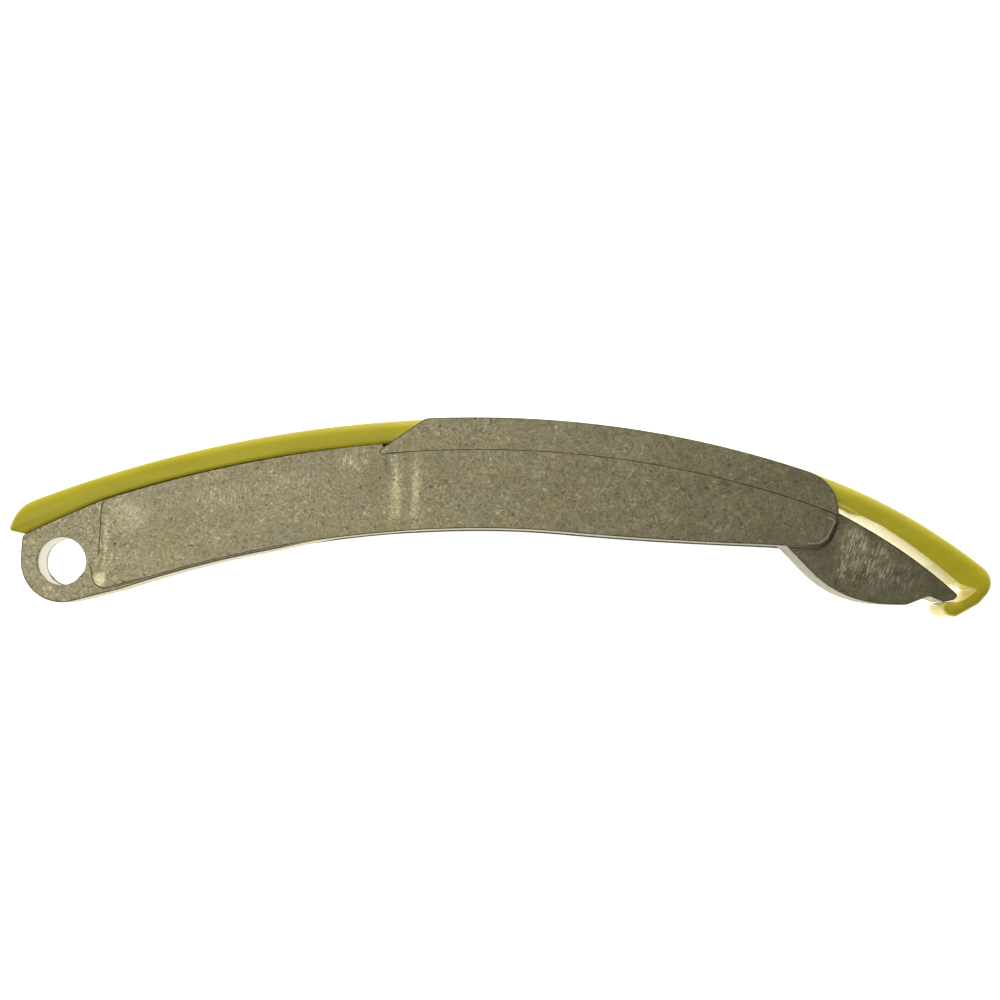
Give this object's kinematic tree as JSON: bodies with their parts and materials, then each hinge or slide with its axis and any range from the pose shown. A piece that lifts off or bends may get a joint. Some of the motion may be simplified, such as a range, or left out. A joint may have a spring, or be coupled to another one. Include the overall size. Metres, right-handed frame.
{
  "type": "timing chain guide",
  "caption": "Pivoted timing chain guide: a curved sheet-steel channel arm with joggled side plates, guide walls and a hooked nylon wear shoe.",
  "frame": {"origin": "centre of the bounding box in plan, at the outer faces of the rear side plate and rear guide wall, on which the arm lies", "axes": "+X along the arm from the pivot eye to the hooked end, +Y towards the chain, +Z across the arm from the rear plates to the front plates, parallel to the pivot axis"},
  "size_m": [0.2158, 0.0438, 0.0222],
  "materials": {
    "channel_steel": "tumbled, speckled, lightly oiled",
    "bush_steel": "bored, satin",
    "front_plate_steel": "tumbled, speckled, lightly oiled",
    "rear_plate_steel": "tumbled, speckled, lightly oiled",
    "front_wall_steel": "tumbled, speckled, lightly oiled",
    "rear_wall_steel": "tumbled, speckled, lightly oiled",
    "shoe_nylon": "moulded, slightly glossy"
  },
  "bodies": {
    "root": {"arm_channel": "channel_steel", "pivot_bush": "bush_steel", "front_side_plate": "front_plate_steel", "rear_side_plate": "rear_plate_steel", "front_guide_wall": "front_wall_steel", "rear_guide_wall": "rear_wall_steel", "wear_shoe": "shoe_nylon"}
  },
  "joints": []
}
